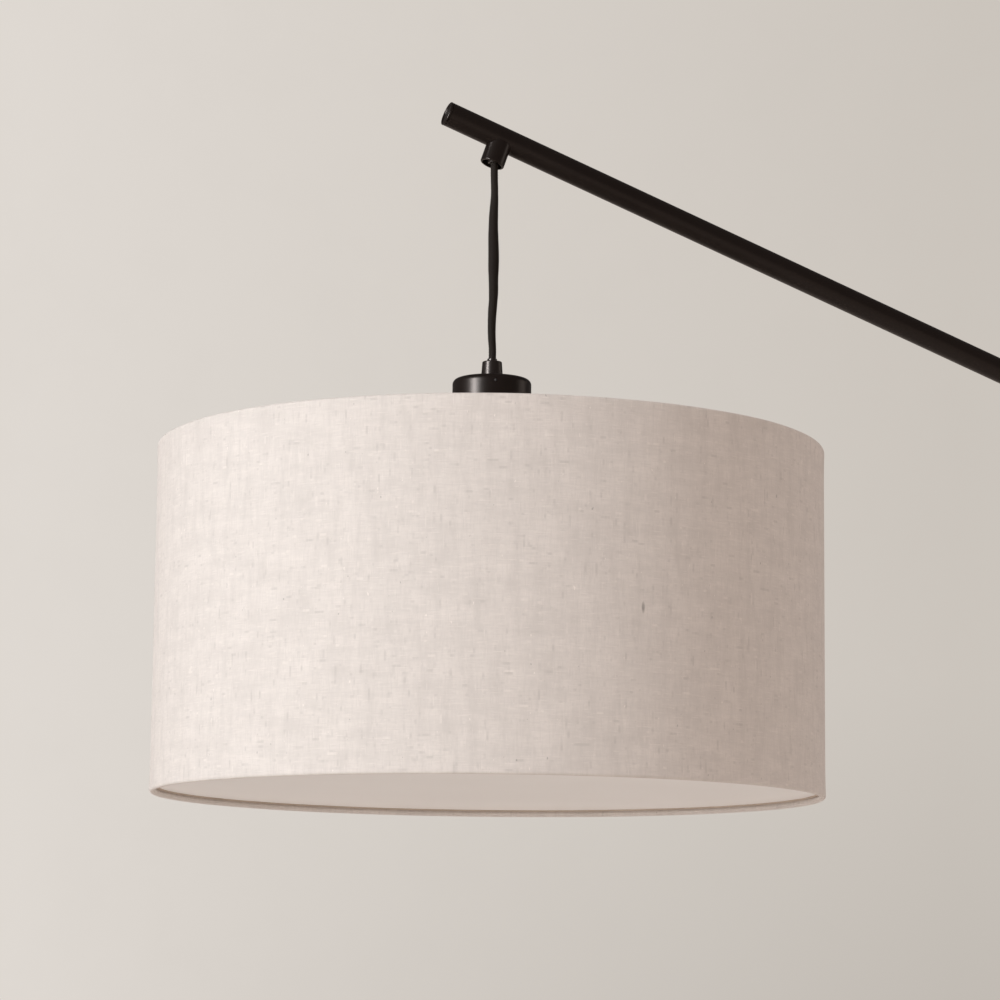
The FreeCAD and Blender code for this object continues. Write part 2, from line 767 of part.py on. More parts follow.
def rounded_path(points):
    """Straight runs joined by tangent arcs, each as large as its two runs allow."""
    edges = []
    start = points[0]
    radii = []
    for before, corner, after in zip(points, points[1:], points[2:]):
        come, go = corner - before, after - corner
        half_turn = come.getAngle(go) / 2
        setback = 0.45 * min(come.Length, go.Length)
        radii.append(setback / math.tan(half_turn))
        into = corner - come.normalize() * setback
        out = corner + go.normalize() * setback
        inwards = (into + out) * 0.5 - corner
        middle_depth = radii[-1] / math.cos(half_turn) - radii[-1]
        middle = corner + inwards.normalize() * middle_depth
        edges.append(Part.makeLine(start, into))
        edges.append(Part.Arc(into, middle, out).toShape())
        start = out
    edges.append(Part.makeLine(start, points[-1]))
    print("cord radii, mm:", [round(radius) for radius in radii])
    return Part.Wire(edges)


def pendant_cord():
    """Textile cord from its stop in the ferrule down into the grip."""
    points = [Vector(*spot) for spot in CORD_ROUTE]
    path = rounded_path(points)
    radius = value("cord_radius")
    section = Part.Wire([Part.makeCircle(radius, points[0], points[1] - points[0])])
    tube = path.makePipeShell([section], True, False)
    expected = math.pi * radius ** 2 * path.Length
    print(f"cord length {path.Length:.1f} mm, volume {tube.Volume / expected:.4f} of section times length")
    cord = part("pendant_cord", doc.addObject("Part::Feature", "pendant_cord"))
    cord.Shape = tube
    hang(cord)


def cord_stop():
    """Loose ring in the ferrule's mouth, and the crimped collar of the cord above it."""
    hang(ring("swing_ring", "swing_ring_bore", "swing_ring_radius", "pivot_height - 1", "pivot_height + 1"))
    foot = "pivot_height + 3"
    hang(ring("cord_stop", "cord_radius + slip", "stop_radius", foot, f"{foot} + stop_height"))


# ------------------------------------------------------------------ socket cup, grip and lampholder


def cord_grip():
    """Tapered grip screwed on the cup's nipple, with a small lip around the cord."""
    bore = "cord_radius + grip_play"
    body = turned("cord_grip", [
        (bore, "grip_seat"), ("nipple_radius + slip", "grip_seat"), ("nipple_radius + slip", "cup_top"),
        ("grip_foot_radius", "cup_top"), ("grip_top_radius", "grip_top"), ("grip_lip_radius", "grip_top"),
        ("grip_lip_radius", "grip_lip_top"), (bore, "grip_lip_top"),
    ])
    soften(body, "Fillet", "0.8", [("grip_top_radius", "grip_top")])
    soften(body, "Fillet", "0.3", [("grip_lip_radius", "grip_lip_top")])
    hang(body)


def socket_cup():
    """Deep-drawn cup over the lampholder with a rounded shoulder and a grub screw hole."""
    inner = ("cup_radius - cup_wall", "cup_top - cup_wall")
    hole = "nipple_radius + slip"
    body = turned("socket_cup", [
        (inner[0], "cup_foot"), ("cup_radius", "cup_foot"), ("cup_radius", "cup_top"), (hole, "cup_top"),
        (hole, inner[1]), inner,
    ])
    soften(body, "Fillet", "cup_round", [("cup_radius", "cup_top")])
    soften(body, "Fillet", "cup_round - cup_wall", [inner])
    bored(body, "screw_hole", "YZ_Plane", "cup_screw_radius + slip", "cup_radius * 2",
          y="cup_screw_height", reverse=True)
    hang(body)
    body.Placement.Rotation = Rotation(Vector(0, 0, 1), value("cup_screw_bearing"))
    body.setExpression("Placement.Rotation.Angle", bound("cup_screw_bearing"))


def cup_fixings():
    """Grub screw, hollow nipple and lock nut of the cup."""
    foot = "(cup_radius - cup_screw_length)"
    screw = cylinder("cup_screw_shank", "cup_screw_radius", "cup_screw_length", x=foot,
                     z="cup_screw_height", angle="90")
    point = cylinder("cup_screw_point", "cup_screw_radius * 0.6", "1", x=f"{foot} - 1",
                     z="cup_screw_height", angle="90")
    grub = hang(part("cup_screw", group("cup_screw", [screw, point])))
    grub.Placement.Rotation = Rotation(Vector(0, 0, 1), value("cup_screw_bearing"))
    grub.setExpression("Placement.Rotation.Angle", bound("cup_screw_bearing"))
    hang(ring("cup_nipple", "cup_nipple_bore", "nipple_radius", "cup_nipple_foot", "cup_nipple_top"))
    nut = hex_nut("cup_nut", "cup_nut_flats", "nipple_radius + slip", "cup_nut_height")
    place(nut, x=SHADE_X, z=f"{SHADE_Z} + cup_top - cup_wall - cup_nut_height")


def socket_body():
    """Moulded lampholder: threaded skirt, flange that carries the cup, and a closed top."""
    hub_top = f"({TOP_WIRE} + hub_thick / 2)"
    seat_radius = "(hub_radius - 0.5)"
    flange_foot = f"({hub_top} + 1.5)"
    hole = "nipple_radius + slip"
    body = turned("socket_body", [
        ("socket_bore", "skirt_foot"), ("skirt_radius", "skirt_foot"), ("skirt_radius", hub_top),
        (seat_radius, hub_top), (seat_radius, flange_foot), ("cup_radius", flange_foot),
        ("cup_radius", "cup_foot"), ("socket_shoulder_radius", "cup_foot"),
        ("socket_shoulder_radius", "socket_shoulder"), ("socket_top_radius", "socket_top"),
        (hole, "socket_top"), (hole, "socket_roof"), ("socket_bore", "socket_roof"),
    ])
    soften(body, "Chamfer", "0.8", [("cup_radius", flange_foot)])
    hang(body)


def socket_fittings():
    """Threaded shell, contact, terminal screws and the ring that clamps the spider's hub."""
    shell = "(socket_bore - play)"
    hang(ring("socket_shell", f"{shell} - shell_thick", shell, "skirt_foot + 2", "socket_roof - 2"))
    bend = "contact_foot + 1.2"
    top = "contact_foot + 2.4"
    contact = turned("socket_contact", [
        ("0", "contact_foot"), ("contact_radius - 2", "contact_foot"), ("contact_radius", bend),
        ("contact_radius", top), ("0", top),
    ])
    hang(contact)
    screws = []
    for name, side in (("left", "-terminal_reach"), ("right", "terminal_reach")):
        head = cylinder(f"terminal_{name}_head", "terminal_radius", "terminal_height", x=side, z="socket_top")
        screws.append(head)
    hang(part("terminal_screws", group("terminal_screws", screws)))
    foot = f"({TOP_WIRE} - hub_thick / 2 - socket_ring_height)"
    ring_top = f"{foot} + socket_ring_height"
    body = ring("socket_ring", "skirt_radius + slip", "socket_ring_radius", foot, ring_top)
    soften(body, "Fillet", "1.5", [("socket_ring_radius", foot)])
    hang(body)


def bulb():
    """Glass envelope, a sphere run into a cone, and its screw cap with the centre contact."""
    cone_foot = "(bulb_centre + bulb_radius * sin(bulb_join_angle))"
    neck = f"({cone_foot} + bulb_cone_length)"
    layers = []
    for name, inset in (("outer", "0"), ("inner", "bulb_glass")):
        ball = primitive("Sphere", f"bulb_{name}_ball", Radius=f"bulb_radius - {inset}")
        place(ball, z="bulb_centre")
        wide = f"bulb_radius * cos(bulb_join_angle) - {inset}"
        narrow = f"bulb_neck_radius - {inset}"
        cone = primitive("Cone", f"bulb_{name}_cone", Radius1=wide, Radius2=narrow, Height="bulb_cone_length")
        layers.append(group(f"bulb_{name}", [ball, place(cone, z=cone_foot)]))
    hang(part("bulb_globe", cut("bulb_globe", *layers)))
    shoulder = f"({neck} + bulb_cap_length)"
    tip_foot = f"({shoulder} + 6)"
    tip = f"({shoulder} + 7.4)"
    cap = turned("bulb_cap", [
        ("0", neck), ("bulb_cap_radius", neck), ("bulb_cap_radius", shoulder),
        ("contact_radius", tip_foot), ("contact_radius - 2", tip), ("0", tip),
    ])
    hang(cap)


# ------------------------------------------------------------------ shade


ARM_BEARINGS = (30, 150, 270)


def outward(obj, start, bearing):
    """Lays an object's own Z level and outwards at the top wire, from a distance off the plumb line."""
    obj.Placement.Rotation = Rotation(Vector(0, 0, 1), bearing) * Rotation(Vector(0, 1, 0), 90)
    obj.setExpression("Placement.Base.x", bound(f"{start} * cos({bearing})"))
    obj.setExpression("Placement.Base.y", bound(f"{start} * sin({bearing})"))
    obj.setExpression("Placement.Base.z", bound(TOP_WIRE))
    return obj


def spider():
    """Hub and three arms that carry the shade's top wire."""
    hub_foot = f"({TOP_WIRE} - hub_thick / 2)"
    hang(ring("spider_hub", "hub_bore", "hub_radius", hub_foot, f"{hub_foot} + hub_thick"))
    arms = []
    reach = f"({ROLL_CENTRE} - wire_radius - hub_radius - play)"
    for index, bearing in enumerate(ARM_BEARINGS, start=1):
        arm = cylinder(f"spider_arm_{index}", "arm_wire_radius", reach)
        arms.append(outward(arm, "hub_radius", bearing))
    hang(part("spider_arms", group("spider_arms", arms)))


def shade_wires():
    """Round wire rings inside the rolled edges."""
    for label, height in (("top_ring", TOP_WIRE), ("bottom_ring", "roll_radius")):
        wire = primitive("Torus", label, Radius1=ROLL_CENTRE, Radius2="wire_radius")
        place(part(label, wire), x=SHADE_X, z=f"{SHADE_Z} + {height}")


def tube(name, outer, thickness, low, high):
    """A Part tube between two heights."""
    length = f"({high}) - ({low})"
    blank = cylinder(f"{name}_blank", outer, length, z=low)
    return cut(name, blank, cylinder(f"{name}_bore", f"{outer} - {thickness}", length, z=low))


def shade_liner():
    """Stiff styrene lining that the fabric is laminated on."""
    outer = "(shade_radius - fabric_thick - play)"
    sleeve = tube("shade_liner", outer, "liner_thick", "roll_radius + liner_gap", f"{TOP_WIRE} - liner_gap")
    hang(part("shade_liner", sleeve))


def shade_fabric():
    """Linen drum wrapped around both wires, with its hems turned inside the lining."""
    pieces = [tube("fabric_wall", "shade_radius", "fabric_thick", "roll_radius", TOP_WIRE)]
    hem_outer = "(shade_radius - fabric_thick - liner_thick - play * 2)"
    hem_base = "(roll_radius + 1.7)"
    hems = (("lower", "roll_radius", hem_base, "hem_height"),
            ("upper", TOP_WIRE, "shade_height - hem_height", f"shade_height - {hem_base}"))
    for name, roll_height, low, high in hems:
        roll = primitive("Torus", f"fabric_{name}_roll", Radius1=ROLL_CENTRE, Radius2="roll_radius")
        wire = primitive("Torus", f"fabric_{name}_wire", Radius1=ROLL_CENTRE, Radius2="wire_radius + slip")
        pieces.append(cut(f"fabric_{name}_edge", place(roll, z=roll_height), place(wire, z=roll_height)))
        pieces.append(tube(f"fabric_{name}_hem", hem_outer, "fabric_thick", low, high))
    notches = []
    for index, bearing in enumerate(ARM_BEARINGS, start=1):
        notch = cylinder(f"fabric_notch_{index}", "arm_wire_radius + play * 2", "hem_height")
        notches.append(outward(notch, f"({ROLL_CENTRE} - hem_height)", bearing))
    cloth = group("fabric_cloth", pieces)
    hang(part("shade_fabric", cut("shade_fabric", cloth, group("fabric_notches", notches))))


def diffuser():
    """Flat acrylic disc in a channel-section edging that rests on the lower rolled edge."""
    foot = "(roll_radius * 2 + play)"
    outer = "(shade_radius - diffuser_gap)"
    inner = f"({outer} - edging_wall)"
    lip = f"({outer} - edging_width)"
    disc_foot = f"({foot} + edging_drop)"
    groove_top = f"({disc_foot} + diffuser_thick + play)"
    top = f"({groove_top} + edging_wall)"
    hang(turned("diffuser_edging", [
        (lip, foot), (outer, foot), (outer, top), (lip, top),
        (lip, groove_top), (inner, groove_top), (inner, disc_foot), (lip, disc_foot),
    ]))
    disc = cylinder("diffuser", f"{inner} - play", "diffuser_thick")
    place(part("diffuser", disc), x=SHADE_X, z=f"{SHADE_Z} + {disc_foot}")


# ------------------------------------------------------------------ the whole lamp


def write_parts():
    """Checks every object of the document, then writes each sub-part's shape."""
    doc.recompute()
    for obj in doc.Objects:
        if {"Invalid", "Error"} & set(obj.State):
            raise ValueError(f"{obj.Name} is {obj.State}")
    for obj in PARTS:
        if obj.Shape.isNull() or not obj.Shape.isValid() or not obj.Shape.Solids:
            raise ValueError(f"{obj.Label} has no valid solid")
    for obj in PARTS:
        obj.Shape.exportStep(f"parts/{obj.Label}.step")
    print(f"{len(PARTS)} sub-parts")


felt_pad()
base_weight()
base_cover()
cord_gland()
base_fixings()
post_flange()
post()
head_bush()
spindle()
fork()
tilt_pin()
fork_washers()
clamp_knob()
boom_saddle()
saddle_screws()
boom_tubes()
boom_plug("boom_tip_cap", TIP_CAP_FOOT, 1)
boom_plug("boom_tail_cap", "(-tail_length)", -1)
tail_weight()
ferrule()
cord_stop()
pendant_cord()
cord_grip()
socket_cup()
cup_fixings()
socket_body()
socket_fittings()
bulb()
spider()
shade_wires()
shade_liner()
shade_fabric()
diffuser()
write_parts()
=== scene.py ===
# %% [markdown]
# # A boom floor lamp with a linen drum shade
# The engineering model already holds every part at its real size and place, in metres. This file
# gives the lamp its looks: a braided cord, a linen shade with rolled edges, finer turned parts where
# the eye is close, and a finish for every surface. Each step says what the real piece is first.

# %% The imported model
import json
import math

import bpy
from mathutils import Matrix, Vector


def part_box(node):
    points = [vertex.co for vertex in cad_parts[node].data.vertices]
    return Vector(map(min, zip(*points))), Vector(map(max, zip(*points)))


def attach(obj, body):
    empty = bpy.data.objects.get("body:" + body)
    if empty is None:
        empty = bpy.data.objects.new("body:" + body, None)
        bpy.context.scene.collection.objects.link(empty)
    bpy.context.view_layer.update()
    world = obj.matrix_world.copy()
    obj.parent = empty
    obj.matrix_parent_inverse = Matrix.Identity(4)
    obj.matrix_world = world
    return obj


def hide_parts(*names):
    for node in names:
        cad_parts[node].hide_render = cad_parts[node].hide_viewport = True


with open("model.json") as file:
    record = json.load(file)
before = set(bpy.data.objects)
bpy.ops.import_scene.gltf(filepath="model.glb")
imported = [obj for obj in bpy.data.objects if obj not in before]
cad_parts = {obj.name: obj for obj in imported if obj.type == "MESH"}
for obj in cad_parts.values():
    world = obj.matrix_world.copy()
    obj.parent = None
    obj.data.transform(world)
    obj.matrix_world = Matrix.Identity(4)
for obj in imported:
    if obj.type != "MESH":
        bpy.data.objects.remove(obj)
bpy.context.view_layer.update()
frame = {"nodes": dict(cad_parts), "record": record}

MM = 0.001
nodes = frame["nodes"]

# %% [markdown]
# ## The viewpoint
# The lamp is looked at from below its shade, with a long lens that keeps the drum's sides upright.
# A camera could be aimed with a constraint, but a plain matrix built from a bearing, a tilt and a
# slight lean is easier to read and never moves by itself.

# %% Camera
shade_low, shade_high = (Vector(corner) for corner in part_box("shade_fabric"))
shade_centre = (shade_low + shade_high) / 2
rim_centre = Vector((shade_centre.x, shade_centre.y, shade_low.z))

EYE_BEARING = math.radians(19.2)
EYE_DISTANCE = 2.5193
EYE_DROP = 0.160
LOOK_UP = math.radians(8.753)
LOOK_RIGHT = math.radians(0.163)
LEAN = math.radians(0.593)
FOCAL_LENGTH = 119.62
SENSOR_WIDTH = 36


def add_camera():
    """A long-lens camera below the shade's rim, looking up at it."""
    back = Vector((-math.sin(EYE_BEARING), -math.cos(EYE_BEARING), 0)) * EYE_DISTANCE
    eye = rim_centre + back - Vector((0, 0, EYE_DROP))
    turn = Matrix.Rotation(-(EYE_BEARING + LOOK_RIGHT), 4, "Z")
    tilt = Matrix.Rotation(math.pi / 2 + LOOK_UP, 4, "X")
    data = bpy.data.cameras.new("camera")
    data.sensor_width = SENSOR_WIDTH
    data.lens = FOCAL_LENGTH
    data.clip_end = 60
    camera = bpy.data.objects.new("camera", data)
    camera.matrix_world = Matrix.Translation(eye) @ turn @ tilt @ Matrix.Rotation(LEAN, 4, "Z")
    bpy.context.scene.collection.objects.link(camera)
    bpy.context.scene.camera = camera
    print("camera at", [round(value, 3) for value in eye])


add_camera()

# %% [markdown]
# ## The cord
# The shade hangs on a short textile cord: a rubber core inside a braid of flat yarns, eight laid
# each way. Its line is a smooth spline through the same route as the engineering model's cord. A
# plain tube would do from far off, but the braid's over-and-under is what makes it read as cloth,
# so every yarn is a thin curve of its own that follows the spline.

# %% The cord's line
CORD_ROUTE_MM = [
    (0.0, 0.0, 499.4),
    (0.0, 0.0, 484.0),
    (0.66, -0.23, 468.0),
    (-0.18, 0.06, 452.0),
    (-0.23, 0.08, 436.0),
    (0.36, -0.12, 420.0),
    (0.19, -0.07, 404.0),
    (0.61, -0.21, 388.0),
    (-0.52, 0.18, 372.0),
    (-0.62, 0.22, 356.0),
    (0.36, -0.13, 344.0),
    (0.0, 0.0, 332.6),
]


def smooth_line(name, route):
    """The points of a NURBS spline whose control points are the route."""
    data = bpy.data.curves.new(name, "CURVE")
    data.dimensions = "3D"
    spline = data.splines.new("NURBS")
    spline.points.add(len(route) - 1)
    for point, spot in zip(spline.points, route):
        point.co = (*spot, 1)
    spline.order_u = 3
    spline.use_endpoint_u = True
    spline.resolution_u = 24
    curve = bpy.data.objects.new(name, data)
    bpy.context.scene.collection.objects.link(curve)
    mesh = bpy.data.meshes.new_from_object(curve)
    line = [vertex.co.copy() for vertex in mesh.vertices]
    bpy.data.objects.remove(curve)
    bpy.data.meshes.remove(mesh)
    return line


cord_line = smooth_line("cord_line", [rim_centre + Vector(spot) * MM for spot in CORD_ROUTE_MM])

# %% The cord's core and yarns
YARNS_EACH_WAY = 8
LAY_LENGTH = 17 * MM
YARN_RADIUS = 0.60 * MM
CORE_RADIUS = 2.2 * MM
WEAVE_DEPTH = 0.32 * MM
YARN_STEP = 0.55 * MM
WELD_GAP = 1e-6
BRAID_WIDTHS_MM = [
    (500, 2.15), (476, 2.12), (469, 2.12), (463, 2.38), (457, 2.62), (450, 2.88), (441, 3.02),
    (435, 3.26), (428, 3.38), (420, 3.48), (415, 3.52), (409, 3.42), (403, 3.10), (396, 2.98),
    (390, 2.94), (384, 2.70), (377, 2.70), (371, 2.56), (362, 2.40), (355, 2.34), (346, 2.18),
    (332, 2.12),
]


def braid_radius(height):
    """The braid's middle radius at a height: drawn tight at both ends, loose and lumpy between."""
    for (high, wide), (low, narrow) in zip(BRAID_WIDTHS_MM, BRAID_WIDTHS_MM[1:]):
        if height >= low:
            share = min((high - height) / (high - low), 1)
            ease = share * share * (3 - 2 * share)
            return (wide + (narrow - wide) * ease) * MM
    return BRAID_WIDTHS_MM[-1][1] * MM


def spaced_points(line, step):
    """Points a step apart along a line."""
    points = [line[0].copy()]
    spare = 0.0
    for a, b in zip(line, line[1:]):
        run = (b - a).length
        along = step - spare
        while along <= run:
            points.append(a.lerp(b, along / run))
            along += step
        spare = run - (along - step)
    points.append(line[-1].copy())
    return points


new_pieces = []


def new_piece(obj, body, node, finish):
    """Puts a new piece on its body in place of a plain part, and notes its finish for later."""
    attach(obj, body)
    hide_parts(node)
    new_pieces.append((obj, finish))


def select_only(obj):
    bpy.ops.object.select_all(action="DESELECT")
    obj.select_set(True)
    bpy.context.view_layer.objects.active = obj


def curve_mesh(name, paths, radius, sides):
    """One mesh of round-section tubes along lists of points."""
    data = bpy.data.curves.new(name, "CURVE")
    data.dimensions = "3D"
    data.bevel_depth = radius
    data.bevel_resolution = sides
    data.use_fill_caps = True
    for path in paths:
        spline = data.splines.new("POLY")
        spline.points.add(len(path) - 1)
        for point, spot in zip(spline.points, path):
            point.co = (*spot, 1)
    obj = bpy.data.objects.new(name, data)
    bpy.context.scene.collection.objects.link(obj)
    select_only(obj)
    bpy.ops.object.convert(target="MESH")
    return obj


def yarn_path(points, start_angle, direction):
    """A yarn that winds round the line and passes over and under those of the other lay."""
    path = []
    travelled = 0.0
    for index, point in enumerate(points):
        if index:
            travelled += (point - points[index - 1]).length
        turn = 2 * math.pi * travelled / LAY_LENGTH
        angle = start_angle + direction * turn
        weave = direction * WEAVE_DEPTH * math.cos(YARNS_EACH_WAY * turn)
        radius = braid_radius((point.z - rim_centre.z) / MM) + weave
        path.append(point + Vector((math.cos(angle), math.sin(angle), 0)) * radius)
    return path


def braided_cord():
    """The rubber core with sixteen yarns around it, as one mesh."""
    points = spaced_points(cord_line, YARN_STEP)
    core = curve_mesh("braided_cord", [points], CORE_RADIUS, 3)
    paths = []
    for direction in (1, -1):
        for index in range(YARNS_EACH_WAY):
            paths.append(yarn_path(points, 2 * math.pi * index / YARNS_EACH_WAY, direction))
    yarns = curve_mesh("cord_yarns", paths, YARN_RADIUS, 1)
    core.select_set(True)
    bpy.context.view_layer.objects.active = core
    bpy.ops.object.join()
    bpy.ops.object.mode_set(mode="EDIT")
    bpy.ops.mesh.select_all(action="SELECT")
    bpy.ops.mesh.remove_doubles(threshold=WELD_GAP)
    bpy.ops.mesh.normals_make_consistent(inside=False)
    bpy.ops.object.mode_set(mode="OBJECT")
    bpy.ops.object.shade_smooth()
    print("cord mesh of", len(core.data.polygons), "faces")
    return core


cord = braided_cord()
new_piece(cord, "cord", "pendant_cord", "black_braid")
spaced_points(cord_line, 2 * MM)

# %% [markdown]
# ## Turned and rolled pieces
# Cups, collars and the drum are all round, so one helper serves them: it starts from a circle and
# extrudes it ring by ring along an outline, growing or shrinking as it goes, the way a spinner
# works metal over a form. A spin tool would need the outline drawn first and leaves a seam to weld.

# %% Ring by ring
POLE_RADIUS = 1e-5
POLE_WELD = 3e-5


def lathe(name, outline, centre, around=96):
    """A surface through (radius, height) rings about an upright axis; radius 0 closes a pole."""
    bpy.ops.object.select_all(action="DESELECT")
    radius, height = outline[0]
    start = centre + Vector((0, 0, height))
    bpy.ops.mesh.primitive_circle_add(vertices=around, radius=max(radius, POLE_RADIUS), location=start)
    obj = bpy.context.object
    obj.name = name
    obj.data.name = name
    bpy.ops.object.transform_apply(location=True, rotation=True, scale=True)
    bpy.ops.object.mode_set(mode="EDIT")
    bpy.ops.mesh.select_all(action="SELECT")
    for before, after in zip(outline, outline[1:]):
        rise = (0, 0, after[1] - before[1])
        bpy.ops.mesh.extrude_region_move(TRANSFORM_OT_translate={"value": rise})
        scale = max(after[0], POLE_RADIUS) / max(before[0], POLE_RADIUS)
        middle = centre + Vector((0, 0, after[1]))
        bpy.ops.transform.resize(value=(scale, scale, 1), center_override=middle)
    bpy.ops.mesh.select_all(action="SELECT")
    bpy.ops.mesh.remove_doubles(threshold=POLE_WELD)
    bpy.ops.mesh.normals_make_consistent(inside=False)
    bpy.ops.object.mode_set(mode="OBJECT")
    return obj


def arc(centre, radius, start, end, steps):
    """Points of an arc in the outline's plane, angles in degrees from the radius direction."""
    points = []
    for step in range(steps + 1):
        angle = math.radians(start + (end - start) * step / steps)
        points.append((centre[0] + radius * math.cos(angle), centre[1] + radius * math.sin(angle)))
    return points


def apply_modifiers(obj):
    select_only(obj)
    for modifier in list(obj.modifiers):
        bpy.ops.object.modifier_apply(modifier=modifier.name)


# %% [markdown]
# ## The linen shade
# The real shade is one length of linen laminated on a stiff lining, its two long edges turned over
# wire rings and glued down inside, its ends lapped in an upright seam at the back. Cloth this
# tight has no folds, so it is not simulated: it is rolled up as a surface, given its lap and the
# small unevenness of a hand-rolled edge, and thickened inwards.

# %% The drum
DRUM_RADIUS = (shade_high.x - shade_low.x) / 2 + 0.5 * MM
DRUM_HEIGHT = shade_high.z - shade_low.z
ROLL = 2.1 * MM
CLOTH = 0.55 * MM
HEM = 12 * MM
SEAM_BEARING = math.radians(72)
LAP_WIDTH = 14 * MM
WALL_ROWS = 36
HEM_GAP = 0.15 * MM
EDGE_DEPTH = 30 * MM
EDGE_FLARE_MM = 0.6
WAVE_OUT_MM = 0.10
WAVE_UP_MM = 0.07
LAP_RISE_MM = 0.35
LAP_STEP = 1.2 * MM


def drum_outline():
    """From the lower hem's edge, round the lower wire, up the wall and over the upper wire."""
    centre = DRUM_RADIUS - ROLL
    hem = centre - HEM_GAP
    low_roll = arc((centre, ROLL), ROLL, -225, 0, 15)
    high_roll = arc((centre, DRUM_HEIGHT - ROLL), ROLL, 0, 225, 15)
    wall_foot, wall_top = low_roll[-1][1], high_roll[0][1]
    wall = []
    for row in range(1, WALL_ROWS):
        wall.append((DRUM_RADIUS, wall_foot + (wall_top - wall_foot) * row / WALL_ROWS))
    lower_hem = [(hem, HEM), (hem, HEM * 0.55)]
    upper_hem = [(hem, DRUM_HEIGHT - HEM * 0.55), (hem, DRUM_HEIGHT - HEM)]
    return lower_hem + low_roll + wall + high_roll + upper_hem


def settle_drum(mesh):
    """Flares the edges slightly, makes them uneven and raises the lap of the seam."""
    for vertex in mesh.vertices:
        offset = vertex.co - rim_centre
        bearing = math.atan2(offset.y, offset.x)
        edge = max(0, 1 - min(offset.z, DRUM_HEIGHT - offset.z) / EDGE_DEPTH)
        wave = math.sin(3 * bearing + 0.7) + 0.6 * math.sin(7 * bearing + 2)
        wave += 0.4 * math.sin(17 * bearing)
        wall = 1 if math.hypot(offset.x, offset.y) > DRUM_RADIUS - ROLL else 0
        away = (bearing - SEAM_BEARING + math.pi) % (2 * math.pi) - math.pi
        lap = min(max(away * DRUM_RADIUS / LAP_STEP, 0), 1)
        lap *= min(max((LAP_WIDTH * 3 - away * DRUM_RADIUS) / (LAP_WIDTH * 2), 0), 1)
        push = ((WAVE_OUT_MM * wave + EDGE_FLARE_MM * edge) * edge + LAP_RISE_MM * lap) * MM * wall
        flat = Vector((offset.x, offset.y, 0)).normalized()
        vertex.co += flat * push
        upwards = 1 if offset.z > DRUM_HEIGHT / 2 else -1
        vertex.co.z += WAVE_UP_MM * wave * edge * MM * upwards * wall


def drum_uv(mesh):
    """A map in metres: arc length across, height up."""
    layer = mesh.uv_layers.new(name="cloth")
    for face in mesh.polygons:
        middle = face.center - rim_centre
        middle_bearing = math.atan2(middle.y, middle.x)
        for loop in face.loop_indices:
            offset = mesh.vertices[mesh.loops[loop].vertex_index].co - rim_centre
            bearing = math.atan2(offset.y, offset.x)
            if bearing - middle_bearing > math.pi:
                bearing -= 2 * math.pi
            if middle_bearing - bearing > math.pi:
                bearing += 2 * math.pi
            layer.data[loop].uv = (bearing * DRUM_RADIUS, offset.z)


def linen_drum():
    drum = lathe("linen_drum", drum_outline(), rim_centre, around=360)
    settle_drum(drum.data)
    drum_uv(drum.data)
    shell = drum.modifiers.new("thickness", "SOLIDIFY")
    shell.thickness = CLOTH
    shell.offset = -1
    apply_modifiers(drum)
    bpy.ops.object.shade_smooth_by_angle(angle=math.radians(50))
    print("drum of", len(drum.data.polygons), "faces")
    return drum


drum = linen_drum()
new_piece(drum, "shade", "shade_fabric", "oatmeal_linen")

# %% [markdown]
# ## The caps of the boom
# Each end of the boom is closed by a turned plug with a thin rounded lip around a shallow dish. It
# could be cut from a cylinder, but ringing out its outline gives the lip its soft edge directly.

# %% Caps
BOOM_TILT = math.radians(19.35)
BOOM_AXIS = Vector((-math.cos(BOOM_TILT), 0, math.sin(BOOM_TILT)))
SQUARE_TO_BOOM = Vector((math.sin(BOOM_TILT), 0, math.cos(BOOM_TILT)))
TILT_PIN = Vector((0, 0, 1550 * MM))
PIN_TO_BOOM = 26 * MM
SADDLE = TILT_PIN + SQUARE_TO_BOOM * PIN_TO_BOOM
TIP_CAP_REACH = 1047.1 * MM
TAIL_CAP_REACH = -421.1 * MM
CAP_OUTLINE_MM = [(0.0, -1.1), (8.0, -1.1), (9.1, -1.1), (9.2, -0.75), (9.45, -0.6), (9.6, -0.35),
                  (9.6, 0.15), (9.5, 0.6), (9.25, 0.9), (8.9, 1.06), (8.55, 1.1), (8.3, 1.02),
                  (8.1, 0.75), (7.95, 0.3), (7.8, 0.1), (7.4, 0.05), (4.0, 0.12), (0.0, 0.15)]


def boom_cap(name, node, reach):
    """A dished cap at a distance along the boom from its saddle."""
    cap = lathe(name, [(radius * MM, height * MM) for radius, height in CAP_OUTLINE_MM], Vector())
    outward = BOOM_AXIS * math.copysign(1, reach)
    turn = outward.to_track_quat("Z", "Y").to_matrix().to_4x4()
    cap.matrix_world = Matrix.Translation(SADDLE + BOOM_AXIS * reach) @ turn
    select_only(cap)
    bpy.ops.object.transform_apply(location=True, rotation=True, scale=True)
    bpy.ops.object.shade_smooth_by_angle(angle=math.radians(40))
    new_piece(cap, "boom", node, "black_coat")
    print(name, "of", len(cap.data.polygons), "faces")


boom_cap("tip_cap", "boom_tip_cap", TIP_CAP_REACH)
boom_cap("tail_cap", "boom_tail_cap", TAIL_CAP_REACH)

# %% [markdown]
# ## The cup's grub screw
# The cup is held by one tiny blackened grub screw whose hexagon socket keeps a bright floor. A
# boolean would cut the socket, but leaves long slivers; here the screw is ringed out like the caps
# and its well's rings are then drawn in to six flats. The bright floor is a plate of its own.

